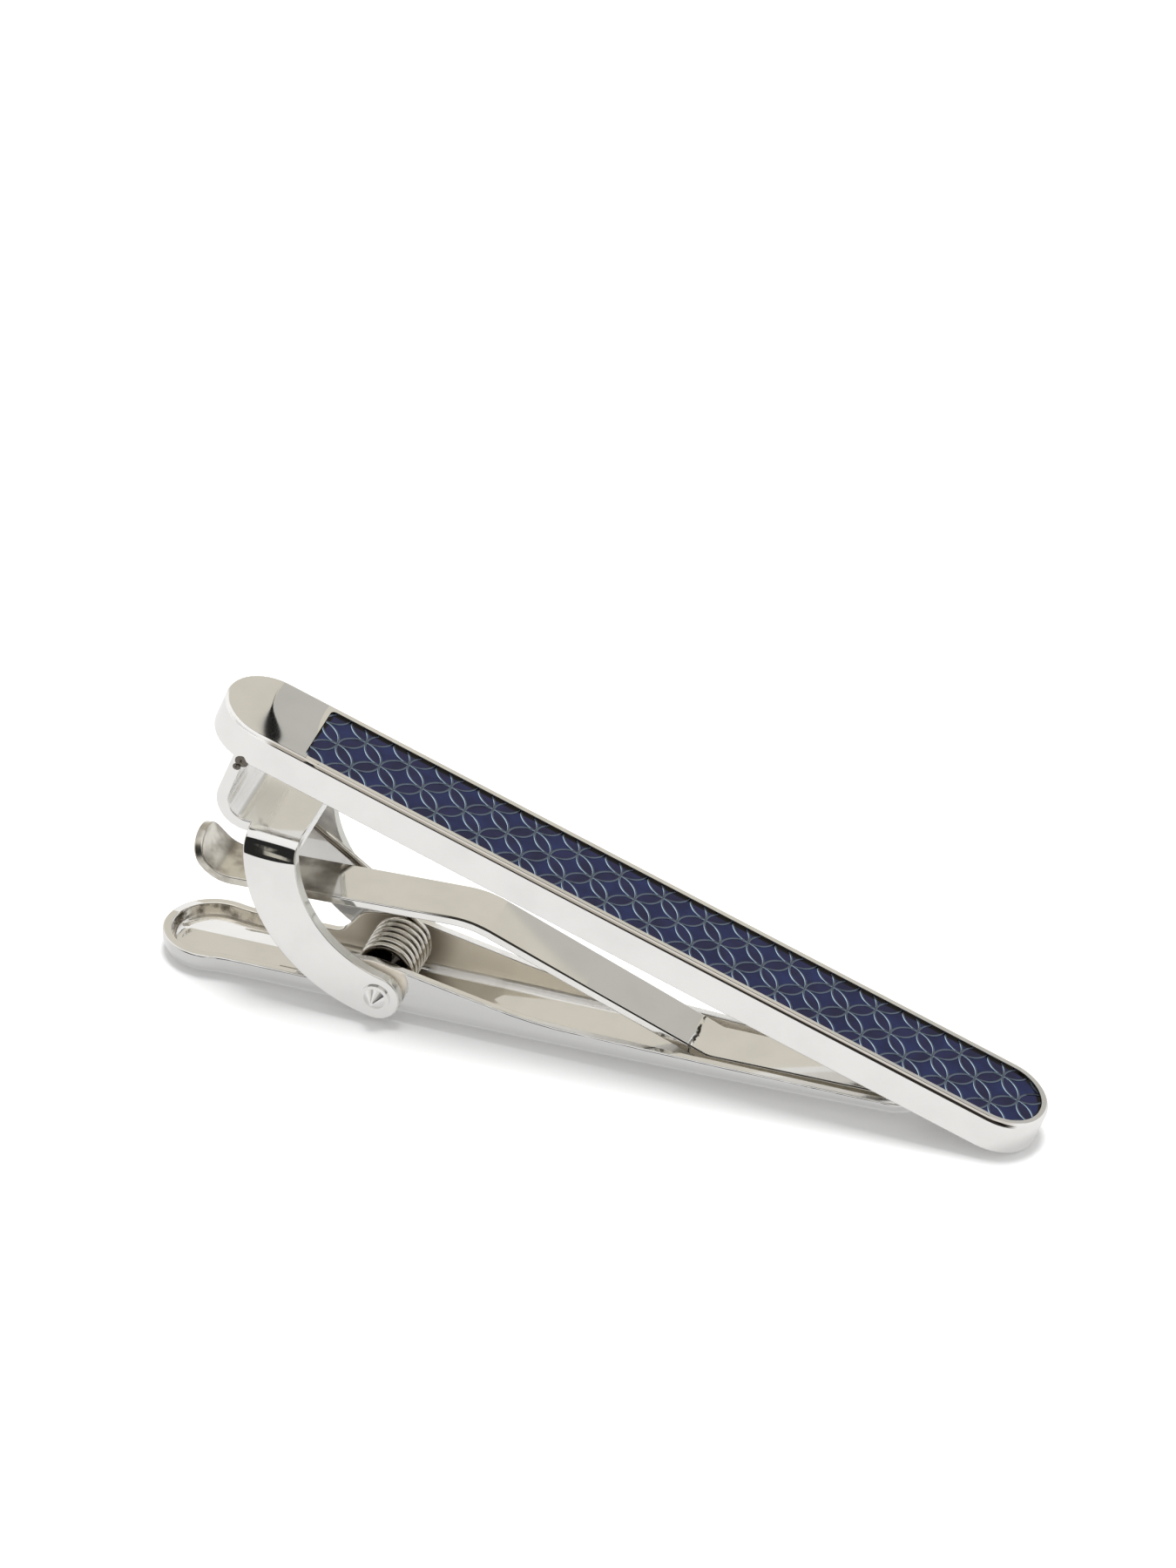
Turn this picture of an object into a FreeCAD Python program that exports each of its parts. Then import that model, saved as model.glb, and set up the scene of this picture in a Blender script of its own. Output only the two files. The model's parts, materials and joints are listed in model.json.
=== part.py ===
"""Tie clip: a slim front bar with an inlaid pattern, and behind it a sprung jaw on a bent yoke."""
import FreeCAD, Part
import math
import os

# Driving dimensions, in millimetres and degrees
quarter_turn = 90.0
half_turn = 180.0
full_turn = 360.0

# Sheet pieces
sheet_edge_round = 0.12
sharp_angle = 40.0
level_tolerance = 1e-6

# Front bar
bar_length = 57.7
bar_width = 6.3
bar_thick = 2.45
bar_wall = 0.8
bar_top_round = 0.25
bar_bottom_round = 0.15
hollow_depth = 1.0

# Inlay in the top of the bar
inlay_start = 6.3
inlay_side_rim = 0.52
inlay_front_rim = 0.5
inlay_corner = 0.35
inlay_depth = 0.7
inlay_fit = 0.02
plate_thick = 0.35
enamel_below_rim = 0.15

# Pivot, measured on the bar
pin_from_rear = 16.9
pin_below_bar = 11.07
pin_radius = 0.5
pin_fit = 0.02
pin_collar_radius = 0.95
pin_collar_thick = 0.15
pin_head_radius = 0.72
pin_head_height = 0.6
pin_head_tip = 0.12

# Yoke
yoke_thick = 0.8
yoke_wall_from_rear = 2.25
yoke_wall_inset = 0.05
yoke_flange_front = 9.0
yoke_flange_fit = 0.12
yoke_flange_bend = 0.5
yoke_foot_bend = 1.3
web_front_from_rear = 8.4
web_front_below_bar = 3.3
web_tilt = 15.0
arm_width = 3.5
arm_end_radius = 1.58
arm_gap = 0.2
arm_bend = 0.45
web_overlap = 0.4
solder_radius = 0.36
solder_forward = 0.2

# Jaw
jaw_thick = 0.6
jaw_half_width = 3.05
jaw_tail_half_width = 3.3
jaw_tail_reach = 15.45
jaw_neck_round = 6.0
jaw_taper_start = 0.0
jaw_nose_reach = 35.6
jaw_nose_half_width = 2.45
jaw_floor_drop = 1.9
jaw_floor_slope = 2.1
jaw_corner = 1.2
floor_face_angle = 25.0
jaw_bore_fit = 0.05
jaw_tail_wall = 1.65
jaw_nose_wall = 1.12
jaw_rim_slope = 3.6
ear_height = 2.1
ear_rear = 3.0
ear_rear_height = 1.75
ear_rear_foot = 4.5
ear_front = 0.6
ear_front_slope = 13.6
ear_foot_round = 1.0
ear_rear_round = 1.2
ear_front_round = 2.5
rim_round = 30.0
nose_gap = 0.1

# Tongue
tongue_thick = 0.6
tongue_half_width = 1.88
tongue_front_half_width = 1.6
tongue_nose_gap = 2.7
tongue_height = 5.62
tongue_slope = 24.1
tongue_slope_top = 5.6
tongue_foot_bend = 1.6
tongue_top_bend = 6.0
tongue_tab_bend = 2.7
tongue_tab_turn = 84.0
tongue_tab_reach = 12.75
tongue_tab_rise = 2.2
tongue_tab_round = 1.8
solder_film = 0.13
sheet_tolerance = 1e-4

# Torsion spring
wire_diameter = 0.5
coil_radius = 1.66
coil_turns = 4
coil_pitch = 0.95
spring_floor_leg = 6.5
spring_floor_gap = 0.2
spring_web_leg_angle = 52.0
spring_leg_clear = 0.2
spring_leg_joint = 0.25
spring_tongue_gap = 0.35
spring_sample_spacing = 0.1


def vec(x, z, y=0.0):
    """A point given by its place in the side view, and its place across the clip."""
    return FreeCAD.Vector(x, y, z)


def heading(angle):
    """Unit vector in the side view at an angle in degrees above +x."""
    return vec(math.cos(math.radians(angle)), math.sin(math.radians(angle)))


def left_of(direction):
    """Unit vector to the left of a direction, in the side view with x to the right and z up."""
    return vec(-direction.z, direction.x)


def line(begin, end):
    return Part.LineSegment(begin, end).toShape()


def arc_about(centre, begin, end):
    """The shorter arc about a centre from one point to another."""
    radius = (begin - centre).Length
    middle = centre + ((begin - centre) + (end - centre)).normalize() * radius
    return Part.Arc(begin, middle, end).toShape()


def meet(point_a, heading_a, point_b, heading_b):
    """Where two lines in the side view cross."""
    side = left_of(heading_b)
    along = (point_b - point_a).dot(side) / heading_a.dot(side)
    return point_a + heading_a * along


def path_edges(points, radii, offset=0.0):
    """Edges of a side-view path with rounded corners, moved to its left by an offset."""
    runs = []
    for begin, end in zip(points, points[1:]):
        runs.append((end - begin).normalize())
    here = points[0] + left_of(runs[0]) * offset
    edges = []
    for corner, radius, run_in, run_out in zip(points[1:-1], radii, runs, runs[1:]):
        side = math.copysign(1.0, left_of(run_in).dot(run_out))
        reach = radius * math.tan(run_in.getAngle(run_out) / 2)
        centre = corner - run_in * reach + left_of(run_in) * (side * radius)
        arm = radius - side * offset
        begin = centre - left_of(run_in) * (side * arm)
        end = centre - left_of(run_out) * (side * arm)
        edges.append(line(here, begin))
        edges.append(arc_about(centre, begin, end))
        here = end
    edges.append(line(here, points[-1] + left_of(runs[-1]) * offset))
    return edges


def ends_of(edges):
    """First and last point of a chain of edges."""
    return edges[0].valueAt(edges[0].FirstParameter), edges[-1].valueAt(edges[-1].LastParameter)


def closed_face(edges_a, edges_b):
    """Face between two chains of edges that run the same way."""
    begin_a, end_a = ends_of(edges_a)
    begin_b, end_b = ends_of(edges_b)
    loop = edges_a + edges_b + [line(begin_a, begin_b), line(end_a, end_b)]
    return Part.Face(Part.Wire(Part.__sortEdges__(loop)))


def across(face, half_width):
    """A side-view face pushed out to both sides of the clip's middle."""
    moved = face.translated(FreeCAD.Vector(0, -half_width, 0))
    return moved.extrude(FreeCAD.Vector(0, 2 * half_width, 0))


def bent_strip(points, radii, thick, half_width):
    """A strip of sheet bent along a side-view path, which is the middle of its thickness."""
    upper = path_edges(points, radii, thick / 2)
    lower = path_edges(points, radii, -thick / 2)
    return across(closed_face(upper, lower), half_width)


def outer_edges(faces):
    """Edges that only one of these faces has."""
    edges = [edge for face in faces for edge in face.Edges]
    return [edge for edge in edges if sum(edge.isSame(other) for other in edges) == 1]


def mid_of(face):
    """Middle of a face's parameter range."""
    u_low, u_high, v_low, v_high = face.ParameterRange
    return (u_low + u_high) / 2, (v_low + v_high) / 2


def normal_near(face, point):
    """Outward normal of a face next to a point on it."""
    return face.normalAt(*face.Surface.parameter(point))


def soft_edged(sheet):
    """A piece of sheet with its sharp edges rounded a little, as tumbling and plating leave them."""
    sheet = sheet.removeSplitter()
    edges = []
    for edge in sheet.Edges:
        faces = [face for face in sheet.Faces if any(edge.isSame(other) for other in face.Edges)]
        middle = edge.valueAt((edge.FirstParameter + edge.LastParameter) / 2)
        normals = [normal_near(face, middle) for face in faces]
        if len(normals) == 2 and math.degrees(normals[0].getAngle(normals[1])) > sharp_angle:
            edges.append(edge)
    return sheet.makeFillet(sheet_edge_round, edges)


def level_faces(solid, z):
    """Flat faces of a solid that lie at one height."""
    level = []
    for face in solid.Faces:
        box = face.BoundBox
        if max(abs(box.ZMin - z), abs(box.ZMax - z)) < level_tolerance:
            level.append(face)
    return level


# Front bar. The pin's axis is the origin while the pieces on the bar are made, with x along the bar.
bar_rear = -pin_from_rear
bar_front = bar_rear + bar_length
bar_under = pin_below_bar
bar_top = bar_under + bar_thick
bar_half = bar_width / 2


def slot_wire(rear, front, half_width, z):
    """A slot outline with two round ends."""
    rear_mid = rear + half_width
    front_mid = front - half_width
    return Part.Wire([
        line(vec(rear_mid, z, -half_width), vec(front_mid, z, -half_width)),
        Part.Arc(vec(front_mid, z, -half_width), vec(front, z), vec(front_mid, z, half_width)).toShape(),
        line(vec(front_mid, z, half_width), vec(rear_mid, z, half_width)),
        Part.Arc(vec(rear_mid, z, half_width), vec(rear, z), vec(rear_mid, z, -half_width)).toShape(),
    ])


def inlay_wire(inset, z):
    """The inlay's outline: straight across with small round corners behind, round in front."""
    rear = bar_rear + inlay_start + inset
    front = bar_front - inlay_front_rim - inset
    half_width = bar_half - inlay_side_rim - inset
    front_mid = front - half_width
    corner_x = rear + inlay_corner
    corner_y = half_width - inlay_corner
    rear_near = vec(rear, z, -corner_y)
    rear_far = vec(rear, z, corner_y)
    side_near = vec(corner_x, z, -half_width)
    side_far = vec(corner_x, z, half_width)
    front_near = vec(front_mid, z, -half_width)
    front_far = vec(front_mid, z, half_width)
    return Part.Wire([
        arc_about(vec(corner_x, z, -corner_y), rear_near, side_near),
        line(side_near, front_near),
        Part.Arc(front_near, vec(front, z), front_far).toShape(),
        line(front_far, side_far),
        arc_about(vec(corner_x, z, corner_y), side_far, rear_far),
        line(rear_far, rear_near),
    ])


def upright(wire, height):
    """A flat outline pushed up by a height."""
    return Part.Face(wire).extrude(FreeCAD.Vector(0, 0, height))


inlay_floor = bar_top - inlay_depth
plate_top = inlay_floor + plate_thick
enamel_top = bar_top - enamel_below_rim
hollow_ceiling = bar_under + hollow_depth
hollow_half = bar_half - bar_wall


def make_front_bar():
    bar = upright(slot_wire(bar_rear, bar_front, bar_half, bar_under), bar_thick)
    bar = bar.makeFillet(bar_top_round, outer_edges(level_faces(bar, bar_top)))
    bar = bar.makeFillet(bar_bottom_round, outer_edges(level_faces(bar, bar_under)))
    recess = upright(inlay_wire(0.0, inlay_floor), inlay_depth + bar_thick)
    hollow_outline = slot_wire(bar_rear + bar_wall, bar_front - bar_wall, hollow_half, bar_under - bar_thick)
    hollow = upright(hollow_outline, bar_thick + hollow_depth)
    return bar.cut(recess).cut(hollow)


def make_pattern_plate():
    return upright(inlay_wire(inlay_fit, inlay_floor), plate_thick)


def make_enamel_coat():
    return upright(inlay_wire(inlay_fit, plate_top), enamel_top - plate_top)


# Yoke: flange, rear wall and web as one strip, then the arms folded down from the web.
wall_mid = bar_rear + yoke_wall_from_rear + yoke_thick / 2
flange_mid = hollow_ceiling - yoke_thick / 2
web_heading = heading(web_tilt)
web_down = left_of(web_heading) * -1
web_front_top = vec(bar_rear + web_front_from_rear, bar_under - web_front_below_bar)
web_front = web_front_top + web_down * (yoke_thick / 2)
web_rear_of_arms = web_front - web_heading * arm_width
arm_start = web_front - web_heading * (arm_width / 2)
arm_inner = jaw_half_width + arm_gap
arm_outer = arm_inner + yoke_thick
yoke_wall_half = arm_inner - arm_bend - yoke_wall_inset
pivot = vec(0, 0)
sides = (-1, 1)


def make_yoke_strip():
    """Flange in the bar's hollow, rear wall and the first stretch of the web."""
    wall_top = vec(wall_mid, flange_mid)
    wall_foot = meet(wall_top, vec(0, 1), web_front, web_heading)
    web_end = web_rear_of_arms + web_heading * web_overlap
    points = [vec(bar_rear + yoke_flange_front, flange_mid), wall_top, wall_foot, web_end]
    radii = [yoke_flange_bend + yoke_thick / 2, yoke_foot_bend + yoke_thick / 2]
    strip = bent_strip(points, radii, yoke_thick, yoke_wall_half)
    # Above the bar's underside the strip is narrower: it fits the hollow and its shoulders butt the bar.
    wall_back = bar_rear + yoke_wall_from_rear
    hollow_end_mid = bar_rear + bar_wall + hollow_half
    hollow_here = math.sqrt(hollow_half ** 2 - (hollow_end_mid - wall_back) ** 2)
    flange_half = hollow_here - yoke_flange_fit
    for side in sides:
        shoulder = Part.makeBox(bar_length, bar_width, hollow_depth)
        low_y = flange_half if side > 0 else -flange_half - bar_width
        shoulder.translate(vec(wall_back, bar_under, low_y))
        strip = strip.cut(shoulder)
    return strip


def arm_edge(start, side):
    """Centre and end of an arm's edge: an arc square to the web at its start and touching the round end."""
    to_pivot = pivot - start
    span = to_pivot.dot(to_pivot) - arm_end_radius ** 2
    radius = span / (2 * (to_pivot.dot(web_heading) - side * arm_end_radius))
    centre = start + web_heading * radius
    return centre, centre + (pivot - centre).normalize() * radius


def make_arm_outline():
    """Side view of an arm: a curved band, square to the web and narrowing to a round end at the pivot."""
    above_web = web_down * -yoke_thick
    front_start = web_front
    rear_start = web_rear_of_arms
    front_centre, front_end = arm_edge(front_start, -1)
    rear_centre, rear_end = arm_edge(rear_start, 1)
    tip_way = (pivot - front_end) + (pivot - rear_end) + left_of(pivot - front_centre)
    tip = pivot + tip_way.normalize() * arm_end_radius
    loop = [
        line(rear_start + above_web, rear_start),
        arc_about(rear_centre, rear_start, rear_end),
        Part.Arc(rear_end, tip, front_end).toShape(),
        arc_about(front_centre, front_end, front_start),
        line(front_start, front_start + above_web),
        line(front_start + above_web, rear_start + above_web),
    ]
    return Part.Face(Part.Wire(loop))


def make_arm_channel():
    """Long channel of sheet with the web on top and the two arm planes, in the web's own direction."""
    reach = pin_below_bar
    outer_round = arm_bend + yoke_thick
    half = yoke_thick / 2
    skins = []
    for out, top, radius in ((arm_outer, half, outer_round), (arm_inner, -half, arm_bend)):
        points = [vec(-out, -reach), vec(-out, top), vec(out, top), vec(out, -reach)]
        skins.append(path_edges(points, [radius, radius]))
    channel = across(closed_face(*skins), bar_length)
    channel.rotate(FreeCAD.Vector(0, 0, 0), FreeCAD.Vector(0, 0, 1), quarter_turn)
    channel.rotate(FreeCAD.Vector(0, 0, 0), FreeCAD.Vector(0, 1, 0), -web_tilt)
    channel.translate(arm_start)
    return channel


def cross_hole(radius, half_length):
    """Round bar across the clip on the pivot's axis."""
    return Part.makeCylinder(radius, 2 * half_length, vec(0, 0, -half_length), FreeCAD.Vector(0, 1, 0))


def make_yoke():
    arms = across(make_arm_outline(), 2 * arm_outer).common(make_arm_channel())
    yoke = soft_edged(make_yoke_strip()).fuse(soft_edged(arms)).removeSplitter()
    return yoke.cut(cross_hole(pin_radius + pin_fit, 2 * arm_outer))


def make_solder_beads():
    """A quarter-round bead in each corner between a side of the yoke and the bar's underside."""
    up = FreeCAD.Vector(0, 0, 1)
    beads = []
    for side in sides:
        centre = vec(wall_mid + solder_forward, bar_under, side * yoke_wall_half)
        bead = Part.makeSphere(solder_radius, centre, up, -quarter_turn, 0.0, half_turn)
        bead.rotate(centre, up, quarter_turn - side * quarter_turn)
        beads.append(bead)
    return Part.makeCompound(beads)


def make_pivot_pin():
    pin = cross_hole(pin_radius, arm_outer)
    for side in sides:
        outward = FreeCAD.Vector(0, side, 0)
        collar_base = outward * arm_outer
        head_base = outward * (arm_outer + pin_collar_thick)
        collar = Part.makeCylinder(pin_collar_radius, pin_collar_thick, collar_base, outward)
        head = Part.makeCone(pin_head_radius, pin_head_tip, pin_head_height, head_base, outward)
        pin = pin.fuse(collar).fuse(head)
    return pin.removeSplitter()


# Jaw. Its pieces are made with the pin's axis as the origin and x along the jaw.
tail_mid = -jaw_tail_reach + jaw_tail_half_width
nose_mid = jaw_nose_reach - jaw_nose_half_width
neck_y = jaw_half_width + jaw_neck_round
neck_x = tail_mid + math.sqrt((jaw_tail_half_width + jaw_neck_round) ** 2 - neck_y ** 2)
taper_length = nose_mid - jaw_taper_start
side_radius = (taper_length ** 2 + jaw_half_width ** 2 - jaw_nose_half_width ** 2) / (
    2 * (jaw_half_width - jaw_nose_half_width))
floor_heading = heading(-jaw_floor_slope)
floor_up = left_of(floor_heading)
floor_below_pin = vec(0, -jaw_floor_drop)


def jaw_outline(inset):
    """Plan of the jaw: round tail, waist, straight sides at the pivot, long taper and round nose."""
    tail_radius = jaw_tail_half_width - inset
    nose_radius = jaw_nose_half_width - inset
    half_width = jaw_half_width - inset
    edges = []
    joints = []
    for side in sides:
        tail_centre = vec(tail_mid, 0)
        neck_centre = vec(neck_x, 0, side * neck_y)
        side_centre = vec(jaw_taper_start, 0, side * (jaw_half_width - side_radius))
        nose_centre = vec(nose_mid, 0)
        tail_point = tail_centre + (neck_centre - tail_centre).normalize() * tail_radius
        neck_point = vec(neck_x, 0, side * half_width)
        taper_point = vec(jaw_taper_start, 0, side * half_width)
        nose_point = nose_centre + (nose_centre - side_centre).normalize() * nose_radius
        edges.append(arc_about(neck_centre, tail_point, neck_point))
        edges.append(line(neck_point, taper_point))
        edges.append(arc_about(side_centre, taper_point, nose_point))
        joints.append((tail_point, nose_point))
    (tail_near, nose_near), (tail_far, nose_far) = joints
    edges.append(Part.Arc(tail_near, vec(tail_mid - tail_radius, 0), tail_far).toShape())
    edges.append(Part.Arc(nose_near, vec(nose_mid + nose_radius, 0), nose_far).toShape())
    return Part.Wire(Part.__sortEdges__(edges))


def floor_at(x, lift=0.0):
    """Point of the jaw's underside below or ahead of a place, lifted square to it."""
    base = floor_below_pin + floor_up * lift
    return base + floor_heading * ((x - base.x) / floor_heading.x)


def slab_above_floor(lift, rim_edges):
    """Everything between the jaw's underside, lifted by the sheet or not, and a line above it."""
    begin, end = ends_of(rim_edges)
    return across(closed_face([line(floor_at(begin.x, lift), floor_at(end.x, lift))], rim_edges), bar_width)


def jaw_body(inset):
    """Solid form of the jaw's outside, or of its trough when inset by the sheet, with a round lower edge."""
    tall = bar_length
    block = upright(jaw_outline(inset).translated(vec(0, -tall / 2)), tall)
    above = [line(vec(-2 * jaw_tail_reach, pin_below_bar), vec(2 * jaw_nose_reach, pin_below_bar))]
    body = block.common(slab_above_floor(inset, above))
    floor = []
    for face in body.Faces:
        from_down = face.normalAt(*mid_of(face)).getAngle(vec(0, -1))
        if math.degrees(from_down) < floor_face_angle:
            floor.append(face)
    return body.makeFillet(jaw_corner - inset, outer_edges(floor))


nose_rim = floor_at(jaw_nose_reach) + vec(0, jaw_nose_wall)


def rim_path():
    """Corner points of the jaw's rim, from behind the tail over the ears to past the nose."""
    ear_front_top = vec(-ear_front, ear_height)
    rim_heading = heading(-jaw_rim_slope)
    rim_corner = meet(ear_front_top, heading(-ear_front_slope), nose_rim, rim_heading)
    return [
        floor_at(-2 * jaw_tail_reach, jaw_tail_wall),
        floor_at(-ear_rear_foot, jaw_tail_wall),
        vec(-ear_rear, ear_rear_height),
        ear_front_top,
        rim_corner,
        nose_rim + rim_heading * jaw_tail_reach,
    ]


def make_lower_jaw():
    trough = jaw_body(0.0).cut(jaw_body(jaw_thick))
    rim = path_edges(rim_path(), [ear_foot_round, ear_rear_round, ear_front_round, rim_round])
    kept = slab_above_floor(0.0, rim)
    return soft_edged(trough.common(kept)).cut(cross_hole(pin_radius + jaw_bore_fit, bar_width))


def make_tongue():
    """Strip on the jaw's floor in front that climbs, runs level over the spring and curls up into a tab."""
    half = tongue_thick / 2
    front = floor_at(jaw_nose_reach - tongue_nose_gap, jaw_thick + solder_film + half)
    top_corner = vec(tongue_slope_top, tongue_height - half)
    foot_corner = meet(top_corner, heading(-tongue_slope), front, floor_heading)
    tab_corner = vec(-tongue_tab_reach + half, tongue_height - half)
    tab_end = tab_corner + heading(half_turn - tongue_tab_turn) * (tongue_tab_rise + half)
    points = [front, foot_corner, top_corner, tab_corner, tab_end]
    radii = [tongue_foot_bend, tongue_top_bend, tongue_tab_bend - half]
    strip = bent_strip(points, radii, tongue_thick, tongue_half_width)
    low = -pin_below_bar
    plan = [
        vec(-bar_length, low, -tongue_half_width),
        vec(top_corner.x, low, -tongue_half_width),
        vec(front.x, low, -tongue_front_half_width),
        vec(front.x, low, tongue_front_half_width),
        vec(top_corner.x, low, tongue_half_width),
        vec(-bar_length, low, tongue_half_width),
    ]
    strip = strip.common(upright(Part.makePolygon(plan + plan[:1]), 2 * pin_below_bar))
    tab_way = tab_end - tab_corner
    tab_edges = []
    for edge in strip.Edges:
        past_end = [abs((vertex.Point - tab_end).dot(tab_way)) for vertex in edge.Vertexes]
        across_sheet = abs(edge.Length - tongue_thick) < sheet_tolerance
        if across_sheet and max(past_end) < sheet_tolerance:
            tab_edges.append(edge)
    return soft_edged(strip.makeFillet(tongue_tab_round, tab_edges))


# Torsion spring, on the pin inside the jaw
helix_rise = coil_pitch / (2 * math.pi * coil_radius)
coil_start_angle = -quarter_turn - jaw_floor_slope
coil_sweep = full_turn * coil_turns + spring_web_leg_angle - coil_start_angle
coil_span = coil_pitch * coil_sweep / full_turn
coil_over_floor = coil_radius + wire_diameter / 2 + spring_floor_gap
coil_axis = floor_at(0, jaw_thick + coil_over_floor)


def helix_point(sweep):
    """Place on the wire's middle line after a sweep in degrees from where the coil starts."""
    out = heading(coil_start_angle + sweep)
    along = coil_pitch * sweep / full_turn - coil_span / 2
    return coil_axis + out * coil_radius + FreeCAD.Vector(0, along, 0)


def helix_direction(sweep):
    """Direction of the wire there."""
    turn = left_of(heading(coil_start_angle + sweep))
    return (turn + FreeCAD.Vector(0, helix_rise, 0)).normalize()


def rounded_by(begin, corner, end):
    """Arc that touches both sides of a corner at two points equally far from it."""
    weight = (end - begin).Length / (2 * (corner - begin).Length)
    middle = (begin + corner * (2 * weight) + end) * (1 / (2 + 2 * weight))
    return Part.Arc(begin, middle, end).toShape()


def biarc(begin, begin_way, end, end_way):
    """Two arcs from one point and direction to another, with one tangent where they join."""
    chord = end - begin
    spread = 2 * (1 - begin_way.dot(end_way))
    pull = chord.dot(begin_way + end_way)
    reach = (math.sqrt(pull ** 2 + spread * chord.dot(chord)) - pull) / spread
    begin_corner = begin + begin_way * reach
    end_corner = end - end_way * reach
    joint = (begin_corner + end_corner) * 0.5
    return [rounded_by(begin, begin_corner, joint), rounded_by(joint, end_corner, end)]


def web_leg_end(begin, way):
    """Point on a straight leg that stays clear of the yoke's web, which is turned with the bar."""
    turned = FreeCAD.Rotation(FreeCAD.Vector(0, 1, 0), bar_tilt)
    down = turned.multVec(web_down)
    under_web = turned.multVec(web_front) + down * (yoke_thick / 2 + wire_diameter / 2 + spring_leg_clear)
    return begin + way * ((under_web - begin).dot(down) / way.dot(down))


def spring_path():
    """Leg along the tail's floor, coil, and leg past the tongue's edge up to the yoke's web."""
    begin, begin_way = helix_point(0), helix_direction(0)
    end, end_way = helix_point(coil_sweep), helix_direction(coil_sweep)
    floor_corner = begin - begin_way * spring_leg_joint
    floor_joint = floor_corner - floor_heading * spring_leg_joint
    floor_end = floor_joint - floor_heading * spring_floor_leg
    edges = [line(floor_end, floor_joint), rounded_by(floor_joint, floor_corner, begin)]
    quarters = math.ceil(coil_sweep / quarter_turn)
    for step in range(quarters):
        low = coil_sweep * step / quarters
        high = coil_sweep * (step + 1) / quarters
        edges += biarc(helix_point(low), helix_direction(low), helix_point(high), helix_direction(high))
    leg_y = tongue_half_width + spring_tongue_gap + wire_diameter / 2
    web_corner = end + end_way * ((leg_y - end.y) / end_way.y)
    web_way = vec(end_way.x, end_way.z).normalize()
    web_joint = web_corner + web_way * spring_leg_joint
    bend_start = web_corner - end_way * spring_leg_joint
    edges += [line(end, bend_start), rounded_by(bend_start, web_corner, web_joint)]
    edges.append(line(web_joint, web_leg_end(web_joint, web_way)))
    return Part.Wire(edges)


def least_gap(path, diameter):
    """Least distance between stretches of one wire that lie over a half turn apart along it."""
    points = path.discretize(Distance=spring_sample_spacing)
    steps_apart = math.ceil(math.pi * coil_radius / spring_sample_spacing)
    pairs = ((a, b) for i, a in enumerate(points) for b in points[i + steps_apart:])
    return min((a - b).Length for a, b in pairs) - diameter


def make_torsion_spring():
    path = spring_path()
    first = path.Edges[0]
    section = Part.Wire(Part.makeCircle(
        wire_diameter / 2, first.valueAt(first.FirstParameter), first.tangentAt(first.FirstParameter)))
    spring = path.makePipeShell([section], True, False)
    expected = math.pi * wire_diameter ** 2 / 4 * path.Length
    print("spring: least gap", round(least_gap(path, wire_diameter), 3), "mm, volume",
          round(spring.Volume, 3), "for section times length", round(expected, 3))
    return spring


# The bar's tilt lays it just clear of the jaw's nose. The clip lies on the tail's heel and the bar's tip.
bar_tilt = math.degrees(
    math.asin((pin_below_bar - nose_gap) / nose_rim.Length) - math.atan2(nose_rim.z, nose_rim.x))
heel_centre = floor_at(-jaw_tail_reach + jaw_corner, jaw_corner)
tip_centre = FreeCAD.Rotation(FreeCAD.Vector(0, 1, 0), bar_tilt).multVec(
    vec(bar_front - bar_bottom_round, bar_under + bar_bottom_round))
heel_to_tip = tip_centre - heel_centre
lie_angle = -math.degrees(
    math.atan2(heel_to_tip.z, heel_to_tip.x)
    + math.asin((jaw_corner - bar_bottom_round) / heel_to_tip.Length))


def make_pieces():
    """Every piece in place, turned to lie on a table, with the origin under the middle of the clip."""
    on_bar = {
        "front_bar": make_front_bar(),
        "pattern_plate": make_pattern_plate(),
        "enamel_coat": make_enamel_coat(),
        "yoke": make_yoke(),
        "solder_beads": make_solder_beads(),
        "pivot_pin": make_pivot_pin(),
    }
    on_jaw = {
        "lower_jaw": make_lower_jaw(),
        "tongue": make_tongue(),
        "torsion_spring": make_torsion_spring(),
    }
    across_clip = FreeCAD.Vector(0, 1, 0)
    for shape in on_bar.values():
        shape.rotate(pivot, across_clip, bar_tilt)
    pieces = {**on_bar, **on_jaw}
    for shape in pieces.values():
        shape.rotate(pivot, across_clip, -lie_angle)
    boxes = [shape.optimalBoundingBox() for shape in pieces.values()]
    x_low = min(box.XMin for box in boxes)
    x_high = max(box.XMax for box in boxes)
    z_low = min(box.ZMin for box in boxes)
    to_origin = FreeCAD.Vector(-(x_low + x_high) / 2, 0, -z_low)
    for shape in pieces.values():
        shape.translate(to_origin)
    return pieces, to_origin


pieces, pivot_place = make_pieces()
os.makedirs("parts", exist_ok=True)
for name, shape in pieces.items():
    shape.exportStep(f"parts/{name}.step")
    print(name, len(shape.Solids), "solid,", round(shape.Volume, 3), "mm3")
print("pivot at", pivot_place, "bar tilt", round(bar_tilt, 3), "lie angle", round(lie_angle, 3))
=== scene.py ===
# %% [markdown]
# A sprung tie clip, dressed for a studio picture. The solid pieces come from the packed model, and this
# lesson adds what a drawing of sheet metal leaves out: the raised lines of the inlay, the tightly wound
# spring and the finish of every surface. The model's frame is in metres with Z up. Sizes of the clip are
# written in millimetres and brought into the frame by mm.

# %% Load the packed clip
import bmesh
import bpy
import json
import math
from mathutils import Euler, Matrix, Vector


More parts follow.
